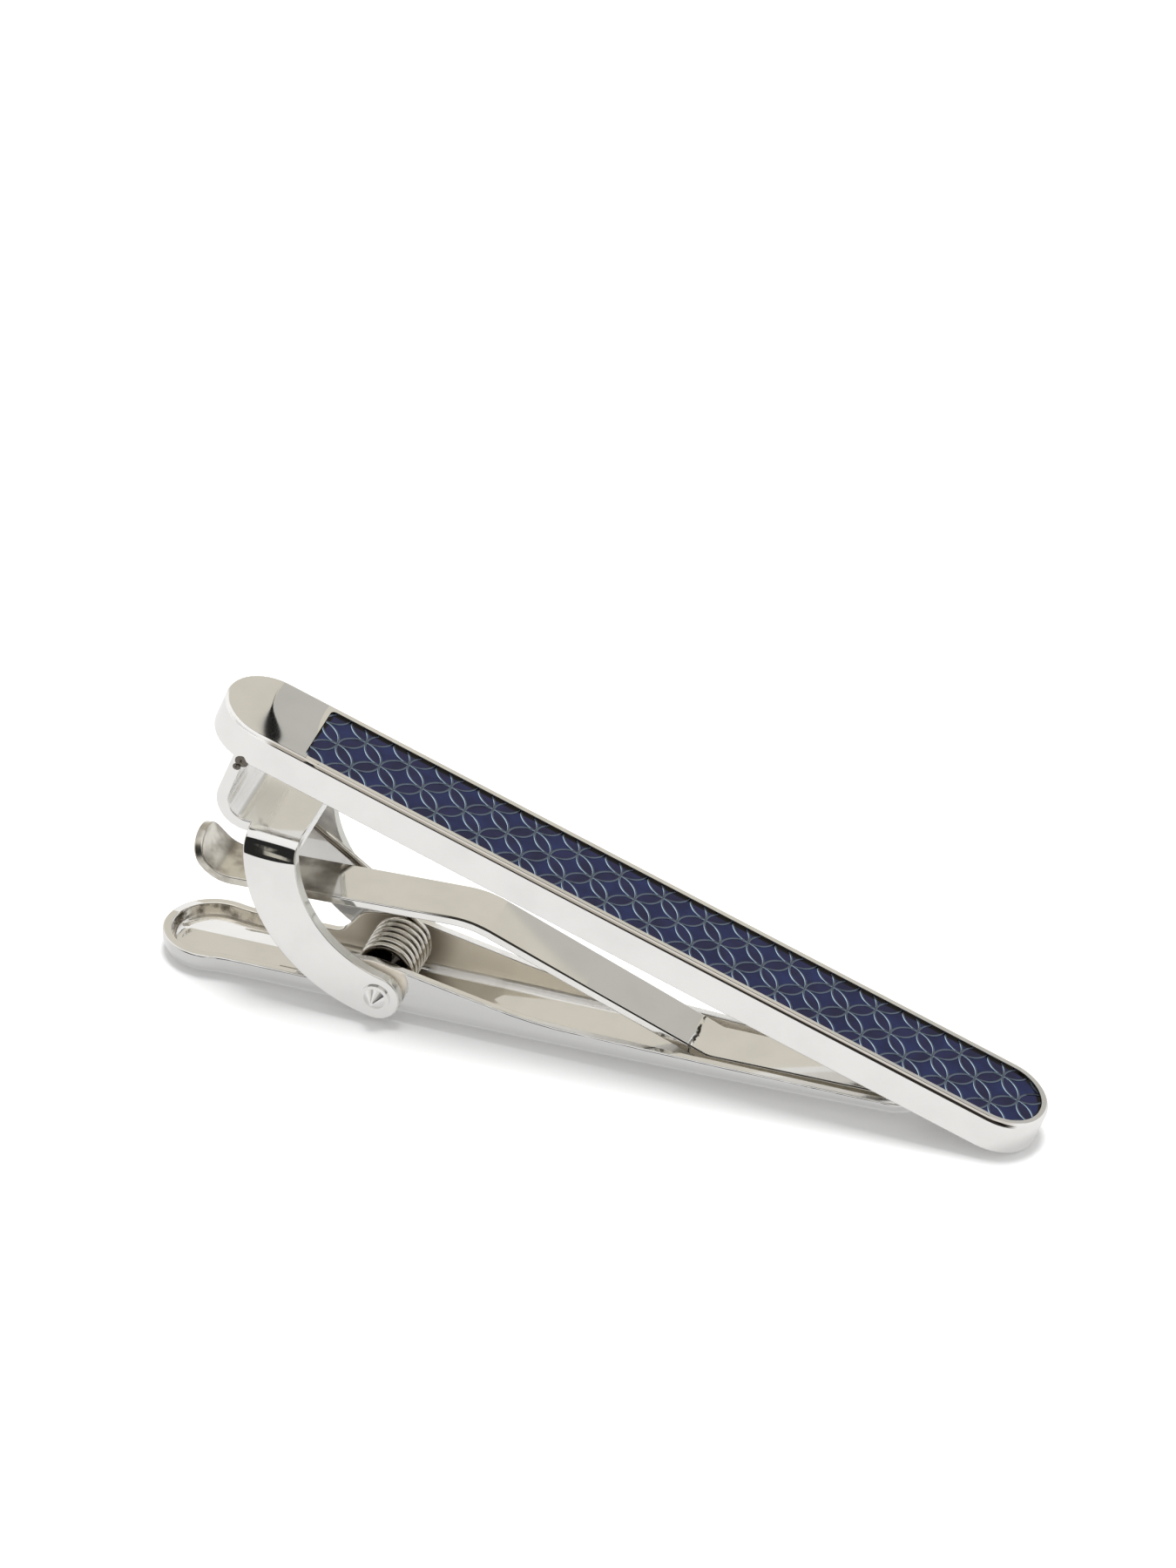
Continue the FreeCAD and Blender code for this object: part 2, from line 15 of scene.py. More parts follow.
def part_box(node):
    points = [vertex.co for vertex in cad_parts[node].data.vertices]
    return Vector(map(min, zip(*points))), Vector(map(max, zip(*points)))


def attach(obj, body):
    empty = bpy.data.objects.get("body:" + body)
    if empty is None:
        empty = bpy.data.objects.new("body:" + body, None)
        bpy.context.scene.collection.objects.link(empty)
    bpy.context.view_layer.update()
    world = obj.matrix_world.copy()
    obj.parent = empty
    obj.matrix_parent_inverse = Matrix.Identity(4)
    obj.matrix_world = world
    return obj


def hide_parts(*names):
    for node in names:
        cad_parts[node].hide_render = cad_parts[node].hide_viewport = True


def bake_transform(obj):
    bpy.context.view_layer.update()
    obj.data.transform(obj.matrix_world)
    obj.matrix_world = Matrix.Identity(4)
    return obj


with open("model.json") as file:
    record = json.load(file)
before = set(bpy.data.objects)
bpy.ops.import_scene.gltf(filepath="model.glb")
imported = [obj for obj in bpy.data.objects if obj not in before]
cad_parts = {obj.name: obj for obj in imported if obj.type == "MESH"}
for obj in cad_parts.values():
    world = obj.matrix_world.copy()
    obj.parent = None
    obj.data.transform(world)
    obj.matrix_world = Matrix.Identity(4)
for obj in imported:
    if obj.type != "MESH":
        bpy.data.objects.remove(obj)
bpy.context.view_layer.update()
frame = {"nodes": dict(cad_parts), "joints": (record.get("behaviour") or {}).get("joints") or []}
nodes = frame["nodes"]
hinge = frame["joints"][0]
pin = Vector(hinge["pos_m"])
mm = 0.001
print("pieces of the model:", sorted(nodes))

# %% [markdown]
# Two slanted frames make the rest easy to write. On the bar, x runs along its length and z stands square to
# its top. On the jaw, x runs along the jaw. Both start at the pin, so one matrix each takes a shape from
# its own straight frame to its place in the clip.

# %% Frames of the bar and the jaw
bar_slope = math.radians(18.15)
jaw_slope = math.radians(-3.118)
bar_place = Matrix.Translation(pin) @ Matrix.Rotation(bar_slope, 4, "Y")
jaw_place = Matrix.Translation(pin) @ Matrix.Rotation(jaw_slope, 4, "Y")
print("pin at", [round(value / mm, 2) for value in pin], "mm")

# %% [markdown]
# The picture was taken with a long lens from a little right of square, looking down by about a third of a
# right angle. A camera far away with a long focal length gives the same nearly parallel edges. The small
# roll stands for a tripod that was not quite level.

# %% Camera
view_turn = math.radians(16.23)
view_drop = math.radians(34.3)
view_roll = math.radians(3.59)
view_distance = 0.8
nearest = 0.05
farthest = 20.0
sensor = 36.0
picture_rows = 1800
rows_per_mm = 18.37
picture_height = picture_rows / rows_per_mm * mm
aim = Vector((-2.733, 2.975, 16.927)) * mm

camera_data = bpy.data.cameras.new("studio_camera")
camera_data.sensor_fit = "VERTICAL"
camera_data.sensor_height = sensor
camera_data.lens = sensor * view_distance / picture_height
camera_data.clip_start = nearest
camera_data.clip_end = farthest
camera = bpy.data.objects.new("studio_camera", camera_data)
bpy.context.scene.collection.objects.link(camera)
level = Euler((math.pi / 2 - view_drop, 0.0, view_turn)).to_matrix()
turned = level @ Matrix.Rotation(view_roll, 3, "Z")
camera.matrix_world = Matrix.Translation(aim + turned @ Vector((0, 0, view_distance))) @ turned.to_4x4()
bpy.context.scene.camera = camera
print("lens", round(camera_data.lens, 1), "mm")

# %% [markdown]
# Finishes are graphs of nodes. A small class wraps one socket, so that sums and products of sockets can be
# written as plain expressions, and a board adds every other node through one method. The sockets that a mix
# node uses for colours only have numbers, so those are named first.

# %% Helpers for finishes
mix_factor = 0
mix_first = 6
mix_second = 7
mix_colour = 2


class Signal:
    """One output of a node. Arithmetic on it adds Math nodes to its board."""

    def __init__(self, board, socket):
        self.board = board
        self.socket = socket

    def math(self, operation, *others):
        """This value and any others, put through a Math node."""
        sockets = dict(enumerate((self,) + others))
        return self.board.node("ShaderNodeMath", {"operation": operation}, sockets)

    def held(self, low, high):
        """This value, kept between two limits."""
        return self.math("MAXIMUM", low).math("MINIMUM", high)

    def __add__(self, other):
        return self.math("ADD", other)

    def __sub__(self, other):
        return self.math("SUBTRACT", other)

    def __mul__(self, other):
        return self.math("MULTIPLY", other)

    def __truediv__(self, other):
        return self.math("DIVIDE", other)

    def __rsub__(self, other):
        return self * -1 + other

    def __neg__(self):
        return self * -1

    def __abs__(self):
        return self.math("ABSOLUTE")

    __radd__ = __add__
    __rmul__ = __mul__


class Board:
    """The node tree of a finish, or of the light around the clip."""

    def __init__(self, owner):
        owner.use_nodes = True
        self.tree = owner.node_tree
        self.tree.nodes.clear()

    def node(self, kind, settings=None, sockets=None, output=0):
        """Add a node, make its settings, fill its sockets and return one of its outputs."""
        made = self.tree.nodes.new(kind)
        for name, value in (settings or {}).items():
            setattr(made, name, value)
        for key, value in (sockets or {}).items():
            if isinstance(value, Signal):
                self.tree.links.new(value.socket, made.inputs[key])
            else:
                made.inputs[key].default_value = value
        return Signal(self, made.outputs[output] if made.outputs else None)

    def step(self, value, low, high):
        """0 below low, 1 above high, smooth between."""
        sockets = {"Value": value, "From Min": low, "From Max": high}
        return self.node("ShaderNodeMapRange", {"interpolation_type": "SMOOTHSTEP"}, sockets)

    def fade(self, value, low, high):
        """1 below low, 0 above high, smooth between."""
        return 1 - self.step(value, low, high)

    def within(self, value, low, high, soft):
        """1 between low and high, 0 outside, with soft borders."""
        above = self.step(value, low - soft, low + soft)
        return above - above * self.step(value, high - soft, high + soft)

    def length(self, across, up):
        """Length of the slanted side over two square ones."""
        return (across * across + up * up).math("SQRT")

    def mix(self, factor, first, second):
        """Colour that goes from the first to the second."""
        sockets = {mix_factor: factor, mix_first: first, mix_second: second}
        return self.node("ShaderNodeMix", {"data_type": "RGBA"}, sockets, mix_colour)

    def noise(self, place, scale, detail=2.0):
        """Cloudy values between 0 and 1, with so many clouds to a metre."""
        return self.node("ShaderNodeTexNoise", None, {"Vector": place, "Scale": scale, "Detail": detail})

    def axes(self, place):
        """The three parts of a vector."""
        split = self.node("ShaderNodeSeparateXYZ", None, {0: place}).socket.node
        return [Signal(self, socket) for socket in split.outputs]


def opaque(red, green, blue):
    """A colour that hides what is behind it."""
    return (red, green, blue, 1.0)


def grey(level):
    """A colour with no hue."""
    return opaque(level, level, level)


print("helpers ready:", [helper.__name__ for helper in (Signal, Board, opaque, grey)])

# %% [markdown]
# Polished plate is hardly a colour at all: it shows the room. So the metal gets a high, slightly warm
# reflectance, a low roughness that wanders a little, and a very shallow bump for the waves that a polishing
# wheel leaves. Walls that were pressed to a small radius are more broken than flat faces, so dents only
# show on those. Where no wheel reaches, plate stays satin: it scatters light instead of mirroring it. Here
# and below, a pair of numbers says where a mask begins and where it is full, in millimetres or as the slant
# of a face.

# %% Finish of the metal
cloud_scale = 320.0
cloud_detail = 4.0
cloud_border = (0.35, 0.8)
cloud_shade = 0.94
grain_scale = 5200.0
grain_detail = 3.0
grain_share = 0.6
wave_scale = 170.0
wave_detail = 1.0
dent_scale = 1100.0
steep_border = (0.3, 0.9)


class Metal(Board):
    """Plated metal: its colour, roughness, sheen and height can be changed before it is closed."""

    def __init__(self, name, tint, gloss, wave, dent):
        self.material = bpy.data.materials.new(name)
        super().__init__(self.material)
        self.place = self.node("ShaderNodeTexCoord", output="Object")
        self.spot = [part / mm for part in self.axes(self.place)]
        self.facing = self.axes(self.node("ShaderNodeTexCoord", output="Normal"))
        self.steep = self.fade(abs(self.facing[2]), *steep_border)
        cloud = self.step(self.noise(self.place, cloud_scale, cloud_detail), *cloud_border)
        cloudy_tint = [cloud_shade * value for value in tint]
        self.colour = self.mix(cloud, opaque(*tint), opaque(*cloudy_tint))
        grain = self.noise(self.place, grain_scale, grain_detail)
        self.rough = gloss + grain * (grain_share * gloss)
        waves = self.noise(self.place, wave_scale, wave_detail) * wave
        dents = self.noise(self.place, dent_scale) * self.steep * dent
        self.height = waves + dents
        self.satin = None

    def hinge(self, ahead, width):
        """A ramp that is flat behind a line and climbs ahead of it, with a soft knee of the given width."""
        return 0.5 * (ahead + self.length(ahead, width))

    def paint(self, mask, colour):
        """Put a colour where the mask is 1."""
        self.colour = self.mix(mask, self.colour, colour)

    def dull(self, amount):
        """Make the plate satin by this amount, where it isn't more so already."""
        self.satin = amount if self.satin is None else self.satin.math("MAXIMUM", amount)

    def close(self):
        """Join the parts to a surface. Heights are in millimetres."""
        bump = self.node("ShaderNodeBump", None, {"Distance": mm, "Height": self.height})
        mirror = 1.0 if self.satin is None else 1 - self.satin
        surface = self.node("ShaderNodeBsdfPrincipled", None, {
            "Base Color": self.colour, "Metallic": mirror, "Roughness": self.rough, "Normal": bump})
        self.node("ShaderNodeOutputMaterial", None, {"Surface": surface})
        print(self.material.name, "has", len(self.tree.nodes), "nodes")
        return self.material


def on_bar(board, place):
    """Millimetres along, across and above the bar for a place in the clip."""
    turned_place = board.node("ShaderNodeMapping", {"vector_type": "TEXTURE"}, {
        "Vector": place, "Location": pin, "Rotation": (0.0, bar_slope, 0.0)})
    return [part / mm for part in board.axes(turned_place)]


def dress(node, material):
    """Give a piece of the model its finish."""
    nodes[node].data.materials.clear()
    nodes[node].data.materials.append(material)


print("metal finish ready:", Metal.__doc__)

# %% [markdown]
# The bar's plain end is not a perfect mirror. Where the recess for the inlay was struck, the top bends by a
# few degrees along a curved line, and the room shows a different wall ahead of it. A bend that shallow is
# best left to the bump: its height falls off ahead of the line. The top is also crowned a little from side
# to side.

# %% Plain end of the bar
far_rim = 2.2
bend_start = -14.13
bend_curve = 0.055
bend_length = 3.2
bend_slope = 0.07
sharp_knee = 0.12
soft_knee = 1.25
soft_knee_border = (-2.8, 0.6)
crown_curve = 0.0042
crown_end = (-10.5, -9.5)


def bend_plain_end(metal, along, aside):
    """Bend and crown the top of the bar's plain end."""
    to_far_rim = far_rim - aside
    bulge = to_far_rim * to_far_rim
    ahead = (along - bend_start - bend_curve * bulge).math("MINIMUM", bend_length)
    knee = sharp_knee + soft_knee * metal.fade(aside, *soft_knee_border)
    crown = crown_curve * bulge * metal.fade(along, *crown_end)
    metal.height = metal.height - bend_slope * metal.hinge(ahead, knee) - crown


bar_metal = Metal("bar_plate", tint=(0.88, 0.87, 0.85), gloss=0.04, wave=0.004, dent=0.0)
bar_along, bar_aside, bar_above = on_bar(bar_metal, bar_metal.place)
bend_plain_end(bar_metal, bar_along, bar_aside)
print("the bend takes the bar's finish to", len(bar_metal.tree.nodes), "nodes")

# %% [markdown]
# Along the near edge the polished corner of the bar gets a painted beige reflection, and in it a painted
# dark reflection line, more so towards the tip; round the plain end it stays pale. The corner is too narrow
# for a dark wall of the room to show there by itself, so the line is painted where the faces round off, by
# how far they have turned up from the side.

# %% Near rim of the bar
near_faces = (0.03, 0.15)
rim_height = (12.9, 13.1)
rim_rear = -12.8
rim_front = 39.2
rim_fade = 0.4
rounding_faces = (0.02, 0.1)
nearly_level = (0.93, 0.98)
painted_rim_reflection = opaque(0.66, 0.62, 0.57)
painted_dark_reflection = opaque(0.035, 0.03, 0.028)
line_reach = 0.34
line_growth = 0.4
growth_border = (-4.0, 38.0)
line_softness = 0.06
pale_rim_border = (-13.4, -12.6)
pale_rim_satin = 0.8


def edge_near_rim(metal, along, above):
    """Paint a beige and a dark reflection on the bar's near rim; keep the plain end's rim pale."""
    near_side = metal.step(-metal.facing[1], *near_faces) * metal.step(above, *rim_height)
    beside_inlay = near_side * metal.within(along, rim_rear, rim_front, rim_fade)
    upward = metal.facing[0] * math.sin(bar_slope) + metal.facing[2] * math.cos(bar_slope)
    rounded = metal.step(upward, *rounding_faces)
    # Painted reflection: beige on the rounded near rim, with a dark line where the faces turn up least.
    metal.paint(rounded * beside_inlay, painted_rim_reflection)
    dark_until = line_reach + line_growth * metal.step(along, *growth_border)
    dark_reflection_line = metal.fade(upward - dark_until, -line_softness, 0.0)
    metal.paint(dark_reflection_line * rounded * beside_inlay, painted_dark_reflection)
    turning = rounded * metal.fade(upward, *nearly_level)
    metal.dull(pale_rim_satin * turning * near_side * metal.fade(along, *pale_rim_border))


edge_near_rim(bar_metal, bar_along, bar_above)
dress("front_bar", bar_metal.close())

# %% [markdown]
# The yoke is folded from thinner sheet and plated the same way, with less polishing. Each arm has a wide
# fold at its top, bowed a little across the arm. Like the bend of the bar it is a slope of the bump,
# between two soft knees. The inner faces, the rear bend and the rear end of the web stay satin, because no
# polishing wheel reaches them. The arms' front edges get a painted shade that makes them a little darker
# than their faces.

# %% Finish of the yoke
arm_middle = -21.0
arm_half_width = 1.8
fold_foot = 10.65
fold_rise = 0.8
fold_bow = 0.05
fold_slope = 0.45
fold_foot_knee = 0.08
fold_top_knee = 0.22
inner_faces = (1.0, 2.5)
inner_satin = 0.6
bend_faces = (0.3, 0.7)
bend_satin = 0.45
web_faces = (0.9, 0.98)
web_end_border = (-22.3, -21.5)
web_end_satin = 0.85
web_end_tint = opaque(0.93, 0.9, 0.81)
edge_faces = (0.15, 0.4)
arm_sides = (2.9, 3.2)
arm_edge_shade = opaque(0.64, 0.635, 0.59)


def yoke_finish():
    """Plate of the yoke, with folds at the tops of its arms."""
    metal = Metal("yoke_plate", tint=(0.87, 0.86, 0.84), gloss=0.05, wave=0.006, dent=0.005)
    lengthways, sideways, upwards = metal.spot
    from_middle = (lengthways - arm_middle).held(-arm_half_width, arm_half_width)
    above_fold = upwards - fold_foot - fold_bow * from_middle * from_middle
    fold = metal.hinge(above_fold, fold_foot_knee) - metal.hinge(above_fold - fold_rise, fold_top_knee)
    metal.height = metal.height - fold_slope * fold
    metal.dull(inner_satin * metal.step(-metal.facing[1] * sideways, *inner_faces))
    metal.dull(bend_satin * metal.step(metal.facing[0], *bend_faces))
    web_end = metal.step(metal.facing[2], *web_faces) * metal.fade(lengthways, *web_end_border)
    metal.dull(web_end_satin * web_end)
    metal.paint(web_end, web_end_tint)
    # Painted shade: the forward-facing edges at the arms' sides are tinted darker.
    arm_edge = metal.step(metal.facing[0], *edge_faces) * metal.step(abs(sideways), *arm_sides)
    metal.paint(arm_edge, arm_edge_shade)
    return metal.close()


dress("yoke", yoke_finish())

# %% [markdown]
# The jaw is a pressed trough. Its outer walls are painted a darker grey. Its inner walls stay satin and get
# a painted brown shade near the spring, and so does the outer wall where an arm of the yoke covers it. The
# inner walls round the tail get dark noisy patches. Two mirrors face to face would show each other again
# and again as black streaks, so satin walls are also the calmer choice.

# %% Walls of the jaw
coil_centre = Vector((0.0, 0.0, 0.812))
coil_axis = jaw_place @ (coil_centre * mm) / mm
inwards_border = (0.3, 1.5)
outwards_border = (0.6, 2.4)
outer_tint = opaque(0.69, 0.685, 0.675)
covered_border = (1.5, 2.0)
covered_wall_shade = opaque(0.85, 0.78, 0.67)
coil_shade_border = (1.8, 3.8)
coil_wall_shade = opaque(0.4, 0.345, 0.27)
inner_tint = opaque(0.9, 0.83, 0.7)
inner_rough = 0.16
wall_satin = 0.85
tail_patch_scale = 800.0
tail_patch_detail = 4.0
tail_patch_border = (0.46, 0.62)
tail_patch_tint = opaque(0.2, 0.175, 0.14)
tail_border = (-25.5, -20.0)


def from_coil(metal):
    """Distance in millimetres from the axis of the spring's coil."""
    return metal.length(metal.spot[0] - coil_axis.x, metal.spot[2] - coil_axis.z)


def finish_jaw_walls(metal):
    """Tint the trough's walls with painted shade near the spring and the yoke's arm; take the mirror off.
    """
    outwards = metal.facing[1] * metal.spot[1]
    inner_wall = metal.step(-outwards, *inwards_border)
    outer_wall = metal.step(outwards, *outwards_border)
    # The outer walls are painted a darker grey.
    metal.paint(outer_wall, outer_tint)
    # Painted shade where an arm of the yoke covers the outer wall.
    covered = outer_wall * metal.fade(from_coil(metal), *covered_border)
    metal.paint(covered, covered_wall_shade)
    # Painted shade: the inner walls turn brown near the spring's coil.
    past_coil = metal.step(from_coil(metal), *coil_shade_border)
    metal.paint(inner_wall, metal.mix(past_coil, coil_wall_shade, inner_tint))
    # Dark noisy patches are painted on the inner walls round the tail.
    tail_patches = metal.step(metal.noise(metal.place, tail_patch_scale, tail_patch_detail), *tail_patch_border)
    tail_wall = metal.steep * metal.fade(metal.spot[0], *tail_border) * (1 - outer_wall)
    metal.paint(tail_patches * tail_wall, tail_patch_tint)
    metal.rough = metal.rough + inner_rough * inner_wall
    metal.dull(wall_satin * inner_wall)
    metal.dull(wall_satin * covered)


jaw_metal = Metal("jaw_plate", tint=(0.87, 0.86, 0.835), gloss=0.06, wave=0.006, dent=0.02)
finish_jaw_walls(jaw_metal)
print("the coil's axis is at", [round(value, 2) for value in coil_axis], "mm")

# %% [markdown]
# The floor of the jaw is pressed a little hollow towards its far wall, so it tilts there and shows the pale
# ceiling. The tilt is slight, and the bump gives it as the bar's bend. Along the wall's foot the floor
# would only mirror the underside of the tongue, so there the plate is white and satin.

# %% Floor of the jaw
floor_faces = (0.5, 0.8)
far_wall = 2.35
tail_foot = 0.8
front_foot_shift = 0.95
foot_shift_border = (-18.0, -12.0)
foot_slope = 0.37
floor_knee = 0.2
trough_start = 0.2
trough_slope = 0.135
trough_border = (-7.8, -6.8)
white_foot = (1.55, 1.75)
white_foot_border = (-12.5, -11.5)
white_foot_tint = opaque(0.98, 0.97, 0.95)
white_foot_satin = 0.9


def hollow_jaw_floor(metal):
    """Tilt the floor of the trough towards its far wall, and whiten it along the wall."""
    lengthways = metal.spot[0]
    floor = metal.step(metal.facing[2], *floor_faces)
    to_wall = metal.spot[1].math("MINIMUM", far_wall)
    foot = tail_foot + front_foot_shift * metal.step(lengthways, *foot_shift_border)
    trough = metal.hinge(to_wall - trough_start, floor_knee) * metal.step(lengthways, *trough_border)
    hollow = foot_slope * metal.hinge(to_wall - foot, floor_knee) + trough_slope * trough
    metal.height = metal.height + hollow * floor
    white = floor * metal.step(to_wall, *white_foot) * metal.step(lengthways, *white_foot_border)
    metal.paint(white, white_foot_tint)
    metal.dull(white_foot_satin * white)


hollow_jaw_floor(jaw_metal)
dress("lower_jaw", jaw_metal.close())

# %% [markdown]
# The pin is plain wire with low pointed heads. Between the arms it lies inside the coil, where a painted
# shade makes it dark, and the top faces of its heads are satin, so that they don't flash white.

# %% Finish of the pin
coil_cover = (2.2, 2.6)
pin_shade = opaque(0.06, 0.05, 0.045)
top_faces = (0.3, 0.7)
pin_satin = 0.5


def pin_finish():
    """Plate of the pin, with painted shade where the coil covers it."""
    metal = Metal("pin_plate", tint=(0.86, 0.85, 0.83), gloss=0.06, wave=0.002, dent=0.004)
    # Painted shade: the pin is dark where the coil covers it.
    metal.paint(metal.fade(abs(metal.spot[1]), *coil_cover), pin_shade)
    metal.dull(pin_satin * metal.step(metal.facing[2], *top_faces))
    return metal.close()


dress("pivot_pin", pin_finish())

# %% [markdown]
# The tongue is a strip that rises out of the jaw. It was creased where it meets the jaw's floor and lies
# level from there on. The slope is bowed and twisted a little, as strip bent by hand is. These bends are
# smaller than the sheet is thick, and the eye knows them only by what the metal mirrors, so the bump draws
# them.

# %% Bends of the tongue
crease_place = 6.3
level_length = 1.2
level_slope = 0.36
crease_knee = 0.05
level_knee = 0.06
twist_middle = -5.2
twist_rear = -2.7
twist_front = 4.5
bow_curve = 0.028
twist_growth = 0.0212
twist_slope = 0.05
twist_end = 0.15


def bend_tongue(metal):
    """Level the tongue past its crease, and bow and twist the slope before it."""
    past_crease = metal.spot[0] - crease_place
    levelled = metal.hinge(past_crease, crease_knee) - metal.hinge(past_crease - level_length, level_knee)
    from_middle = metal.spot[0] - twist_middle
    reach = from_middle.held(twist_rear, twist_front)
    bow = bow_curve * reach * (from_middle - 0.5 * reach)
    twist = (twist_growth * reach + twist_slope) * metal.spot[1]
    before_crease = metal.fade(past_crease, -twist_end, twist_end)
    metal.height = metal.height + level_slope * levelled - bow - twist * before_crease


tongue_metal = Metal("tongue_plate", tint=(0.88, 0.87, 0.845), gloss=0.06, wave=0.006, dent=0.02)
bend_tongue(tongue_metal)
print("the bends take the tongue's finish to", len(tongue_metal.tree.nodes), "nodes")

# %% [markdown]
# A dark, broken line of painted shade runs across the tongue along its crease. One noise makes the line
# wander and another breaks it. Where the near edge turns down, a dark line of painted shade is drawn too.

# %% Dark lines of the tongue
crease_half = 0.09
crease_softness = 0.04
crease_wander = 0.6
wander_scale = 1500.0
wander_detail = 3.0
break_scale = 900.0
break_detail = 1.0
break_border = (0.32, 0.44)
crease_shade = opaque(0.03, 0.028, 0.025)
edge_from = 0.28
edge_to = 0.88
edge_softness = 0.1
edge_strip_border = (1.69, 1.74)
edge_top_faces = (0.2, 0.4)
edge_start = (-12.5, -9.5)
near_edge_shade = opaque(0.05, 0.045, 0.04)


def mark_tongue(metal):
    """Paint the dark shade lines of the crease and of the near edge."""
    wander = metal.noise(metal.place, wander_scale, wander_detail) - 0.5
    from_crease = metal.spot[0] - crease_place + crease_wander * wander
    crease = metal.within(from_crease, -crease_half, crease_half, crease_softness)
    broken = metal.step(metal.noise(metal.place, break_scale, break_detail), *break_border)
    # Painted shade along the crease, wandering and broken.
    metal.paint(crease * broken, crease_shade)
    rounded = metal.within(-metal.facing[1], edge_from, edge_to, edge_softness)
    strip = metal.step(-metal.spot[1], *edge_strip_border) * metal.step(metal.facing[2], *edge_top_faces)
    near_edge = rounded.math("MAXIMUM", strip) * metal.step(metal.spot[0], *edge_start)
    # Painted shade along the near edge, where it turns down.
    metal.paint(near_edge, near_edge_shade)


mark_tongue(tongue_metal)
print("the lines take it to", len(tongue_metal.tree.nodes), "nodes")

# %% [markdown]
# The tail of the tongue under the yoke missed the last polish, so it is mottled and rough, and the
# underside is satin. A noise with a soft border gives patches of two tints, which is enough for plate that
# lies in the shade.

# %% Tail of the tongue
tail_slant = 0.17
tail_end = (-17.97, -17.77)
mottle_scale = 420.0
mottle_detail = 4.0
mottle_border = (0.36, 0.62)
dark_mottle = opaque(0.3, 0.275, 0.235)
pale_mottle = opaque(0.74, 0.71, 0.64)
tail_rough = 0.16
lower_faces = (0.3, 0.6)
lower_satin = 0.8


def mottle_tongue(metal):
    """Leave the tail mottled and the underside satin."""
    tail = metal.fade(metal.spot[0] + tail_slant * metal.spot[1], *tail_end)
    mottle = metal.step(metal.noise(metal.place, mottle_scale, mottle_detail), *mottle_border)
    metal.paint(tail, metal.mix(mottle, dark_mottle, pale_mottle))
    metal.rough = metal.rough + tail_rough * tail
    metal.dull(lower_satin * metal.step(-metal.facing[2], *lower_faces))


mottle_tongue(tongue_metal)
dress("tongue", tongue_metal.close())

# %% [markdown]
# The inlay is a stamped plate under clear blue enamel. The pattern is a traditional one of circles that
# each cross their neighbours. A picture could hold it, but a formula stays sharp from near by. Folding both
# directions like a paper fan brings every cell onto one square with two centres, so the leaves, where two
# circles overlap, can be told from the squares between them. Towards the rim a painted shadow of the
# recess makes the enamel look black.

# %% Pattern of the inlay
ring_radius = 1.5
crossing = 8.78
inlay_half = 2.61
inlay_rear = -10.58
inlay_front = 40.28
leaf_border = (0.95, 1.0)
shade_near = 0.1
shade_far = 0.2
shade_side = (-0.5, 1.5)
shade_border = (0.6, 1.1)


def overlap(board, along, aside):
    """1 in the leaves of the pattern and 0 in its squares."""
    column = ((along - crossing) / ring_radius).math("PINGPONG", 1.0)
    row = (aside / ring_radius).math("PINGPONG", 1.0)
    to_right = board.length(1 - column, row)
    to_left = board.length(column, 1 - row)
    return board.fade(to_right.math("MAXIMUM", to_left), *leaf_border)


def recess_shade(board, along, aside):
    """1 at the rim of the recess, where its shadow is painted, and 0 in the open."""
    past_end = (along - (inlay_front - inlay_half)).math("MAXIMUM", 0.0)
    to_side = inlay_half - board.length(past_end, aside)
    to_rim = to_side.math("MINIMUM", along - inlay_rear)
    width = shade_near + shade_far * board.step(aside, *shade_side)
    return board.fade(to_rim / width, *shade_border)


print("the inlay is", round(inlay_front - inlay_rear, 2), "mm long and", 2 * inlay_half, "mm wide")

# %% [markdown]
# Enamel is coloured glass. A clear layer over the metal plate would be nearer to the real thing, but it is
# slow and noisy, so one opaque coat with a low sheen carries both blues. Faint clouds stand for its uneven
# depth.

# %% Finish of the enamel
enamel_cloud_scale = 700.0
enamel_cloud_detail = 3.0
enamel_cloud_border = (0.3, 0.7)
square_blues = (opaque(0.014, 0.0175, 0.058), opaque(0.019, 0.0275, 0.094))
leaf_blues = (opaque(0.0155, 0.0155, 0.046), opaque(0.0205, 0.0225, 0.073))
shade_tint = opaque(0.003, 0.002, 0.002)
enamel_rough = 0.14
enamel_grain = 0.1
enamel_grain_scale = 6000.0
enamel_sheen = 0.2


def enamel_finish():
    """Blue enamel that is lighter in the squares than in the leaves."""
    material = bpy.data.materials.new("navy_enamel")
    board = Board(material)
    place = board.node("ShaderNodeTexCoord", output="Object")
    along, aside = on_bar(board, place)[:2]
    cloud = board.step(board.noise(place, enamel_cloud_scale, enamel_cloud_detail), *enamel_cloud_border)
    squares = board.mix(cloud, *square_blues)
    leaves = board.mix(cloud, *leaf_blues)
    open_blue = board.mix(overlap(board, along, aside), squares, leaves)
    # Painted shadow: black towards the rim of the recess.
    colour = board.mix(recess_shade(board, along, aside), open_blue, shade_tint)
    rough = enamel_rough + enamel_grain * board.noise(place, enamel_grain_scale)
    surface = board.node("ShaderNodeBsdfPrincipled", None, {
        "Base Color": colour, "Roughness": rough, "Specular IOR Level": enamel_sheen})
    board.node("ShaderNodeOutputMaterial", None, {"Surface": surface})
    print(material.name, "has", len(board.tree.nodes), "nodes")
    return material


dress("enamel_coat", enamel_finish())

# %% [markdown]
# The raised lines of the plate are seen through a thin blue skin. A painted highlight makes a ridge bright
# on its flanks where it runs across the view, and it stays dull grey where it runs along it, so its colour
# follows the way that its flanks face. Under the far rim, and at the far side of the tip, a painted shadow
# of the recess darkens the ridges.

# %% Finish of the raised lines
near_flanks = (0.4, 1.1)
far_flanks = (0.45, 1.0)
far_flank_share = 0.4
painted_ridge_highlight = opaque(0.62, 0.82, 1.0)
painted_ridge_shadow = opaque(0.05, 0.06, 0.085)
far_rim_shade = (2.2, 2.45)
tip_shade = (38.5, 38.7)
tip_shade_side = (0.75, 0.95)


